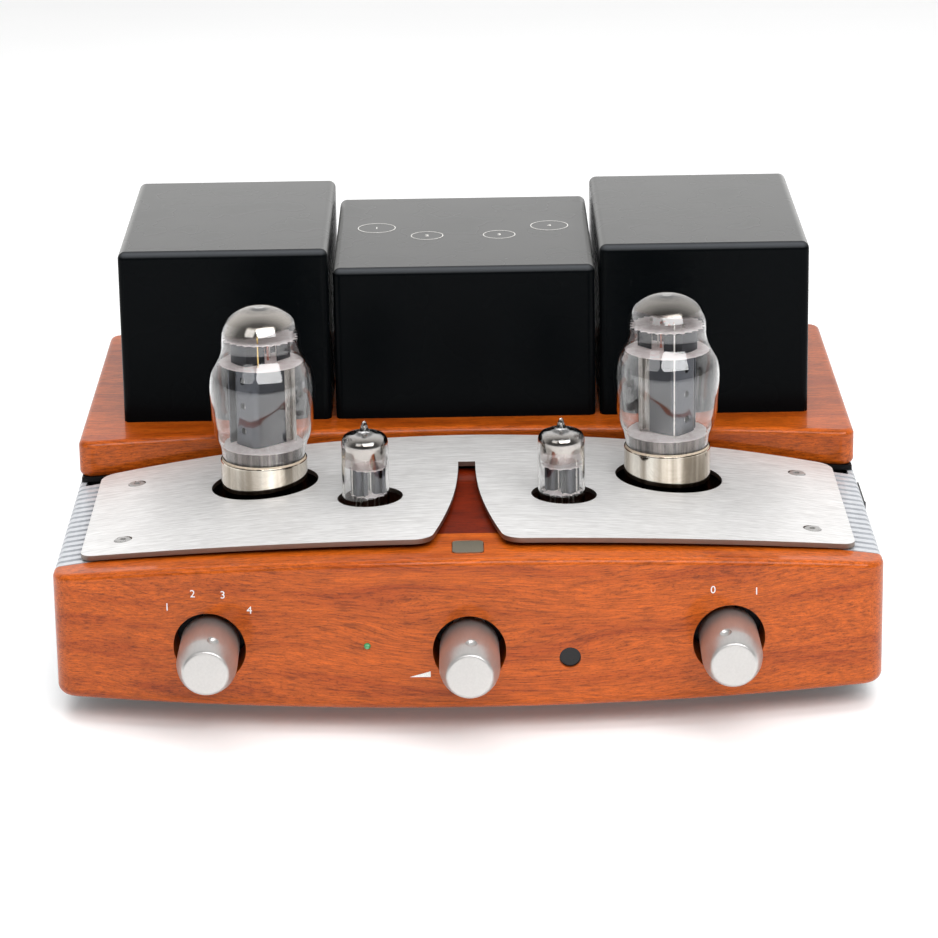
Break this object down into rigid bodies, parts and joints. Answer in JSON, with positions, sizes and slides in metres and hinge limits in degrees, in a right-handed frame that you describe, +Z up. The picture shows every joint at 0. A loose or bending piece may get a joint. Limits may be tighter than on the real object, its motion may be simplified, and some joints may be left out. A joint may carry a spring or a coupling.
{
  "type": "valve integrated amplifier",
  "caption": "Free-standing stereo valve amplifier with curved wooden front, arched steel plate with plug-in valves, knobs, ribbed sides and black transformer covers.",
  "frame": {"origin": "on the table, under the middle of the whole object's footprint", "axes": "+X to the right seen from the front, +Y to the back, +Z up"},
  "size_m": [0.3665, 0.4026, 0.17],
  "materials": {
    "wood": "satin lacquered reddish-orange hardwood",
    "wood_dark": "satin dark red hardwood",
    "brushed_plate": "brushed stainless steel, grain left to right",
    "screw_steel": "bright steel",
    "black_coat": "matte black",
    "ribbed_aluminium": "pale anodised, finely ribbed",
    "chassis_steel": "zinc-grey",
    "rubber": "matte",
    "black_texture_coat": "satin fine-textured powder coat",
    "lamination_steel": "varnished laminations",
    "winding_wrap": "polyester winding tape",
    "phenolic": "moulded phenolic",
    "tube_glass": "clear blown glass with a silver getter at the top",
    "nickel_collar": "drawn nickel-plated metal",
    "electrode_metal": "dark grey carbonised nickel and mica",
    "knob_metal": "satin turned metal",
    "shaft_steel": "turned steel",
    "switch_body": "pressed steel case",
    "green_lens": "diffused green lens",
    "dark_window": "infrared-passing black",
    "badge_metal": "plain satin inlay",
    "circuit_board": "green laminate",
    "capacitor_sleeve": "dark blue sleeve",
    "black_plastic": "fine matte moulding",
    "rocker_plastic": "semi-gloss moulding",
    "gold_contact": "gold-plated",
    "cap_black": "fluted moulding",
    "cap_red": "fluted moulding"
  },
  "bodies": {
    "chassis": {"front_panel": "wood", "channel_inlay": "wood_dark", "top_plate": "brushed_plate", "plate_screws": "screw_steel", "rear_platform": "wood", "platform_spacer": "black_coat", "side_panel_left": "ribbed_aluminium", "side_panel_right": "ribbed_aluminium", "chassis_tray": "chassis_steel", "tube_deck": "chassis_steel", "rear_panel": "black_coat", "feet": "rubber", "cover_left": "black_texture_coat", "cover_right": "black_texture_coat", "cover_centre": "black_texture_coat", "output_core_left": "lamination_steel", "output_core_right": "lamination_steel", "output_winding_left": "winding_wrap", "output_winding_right": "winding_wrap", "mains_transformer": "winding_wrap", "octal_socket_left": "phenolic", "octal_socket_right": "phenolic", "noval_socket_left": "phenolic", "noval_socket_right": "phenolic", "selector_switch": "switch_body", "volume_pot": "switch_body", "monitor_switch": "switch_body", "led": "green_lens", "ir_window": "dark_window", "badge": "badge_metal", "main_board": "circuit_board", "filter_capacitors": "capacitor_sleeve", "rocker_frame": "black_plastic", "mains_inlet": "black_plastic", "input_jacks": "gold_contact", "speaker_posts": "gold_contact"},
    "selector": {"selector_knob": "knob_metal", "selector_shaft": "shaft_steel"},
    "volume": {"volume_knob": "knob_metal", "volume_shaft": "shaft_steel"},
    "monitor": {"monitor_knob": "knob_metal", "monitor_shaft": "shaft_steel"},
    "rocker": {"power_rocker": "rocker_plastic"},
    "power_tube_left": {"power_tube_left_glass": "tube_glass", "power_tube_left_collar": "nickel_collar", "power_tube_left_base": "phenolic", "power_tube_left_electrodes": "electrode_metal"},
    "power_tube_right": {"power_tube_right_glass": "tube_glass", "power_tube_right_collar": "nickel_collar", "power_tube_right_base": "phenolic", "power_tube_right_electrodes": "electrode_metal"},
    "small_tube_left": {"small_tube_left_glass": "tube_glass", "small_tube_left_electrodes": "electrode_metal"},
    "small_tube_right": {"small_tube_right_glass": "tube_glass", "small_tube_right_electrodes": "electrode_metal"},
    "fuse_drawer": {"fuse_drawer": "black_plastic"},
    "speaker_cap_1": {"speaker_cap_1": "cap_black"},
    "speaker_cap_2": {"speaker_cap_2": "cap_red"},
    "speaker_cap_3": {"speaker_cap_3": "cap_black"},
    "speaker_cap_4": {"speaker_cap_4": "cap_red"}
  },
  "joints": [
    {"name": "selector_turn", "type": "hinge", "parent": "chassis", "child": "selector", "pos_m": [-0.113, -0.16, 0.039], "axis": [0, 1, 0], "range_deg": [-60, 30]},
    {"name": "volume_turn", "type": "hinge", "parent": "chassis", "child": "volume", "pos_m": [0, -0.17, 0.039], "axis": [0, 1, 0], "range_deg": [-154, 146]},
    {"name": "monitor_turn", "type": "hinge", "parent": "chassis", "child": "monitor", "pos_m": [0.113, -0.16, 0.039], "axis": [0, 1, 0], "range_deg": [0, 30]},
    {"name": "power_rock", "type": "hinge", "parent": "chassis", "child": "rocker", "pos_m": [0.1795, -0.033, 0.056], "axis": [0, 0, 1], "range_deg": [-11, 0]},
    {"name": "power_tube_left_lift", "type": "slide", "parent": "chassis", "child": "power_tube_left", "axis": [0, 0, 1], "range_m": [0, 0.06]},
    {"name": "small_tube_left_lift", "type": "slide", "parent": "chassis", "child": "small_tube_left", "axis": [0, 0, 1], "range_m": [0, 0.045]},
    {"name": "power_tube_right_lift", "type": "slide", "parent": "chassis", "child": "power_tube_right", "axis": [0, 0, 1], "range_m": [0, 0.06]},
    {"name": "small_tube_right_lift", "type": "slide", "parent": "chassis", "child": "small_tube_right", "axis": [0, 0, 1], "range_m": [0, 0.045]},
    {"name": "fuse_drawer_pull", "type": "slide", "parent": "chassis", "child": "fuse_drawer", "axis": [0, 1, 0], "range_m": [0, 0.02]},
    {"name": "speaker_cap_1_unscrew", "type": "slide", "parent": "chassis", "child": "speaker_cap_1", "axis": [0, 1, 0], "range_m": [0, 0.008]},
    {"name": "speaker_cap_2_unscrew", "type": "slide", "parent": "chassis", "child": "speaker_cap_2", "axis": [0, 1, 0], "range_m": [0, 0.008]},
    {"name": "speaker_cap_3_unscrew", "type": "slide", "parent": "chassis", "child": "speaker_cap_3", "axis": [0, 1, 0], "range_m": [0, 0.008]},
    {"name": "speaker_cap_4_unscrew", "type": "slide", "parent": "chassis", "child": "speaker_cap_4", "axis": [0, 1, 0], "range_m": [0, 0.008]}
  ]
}
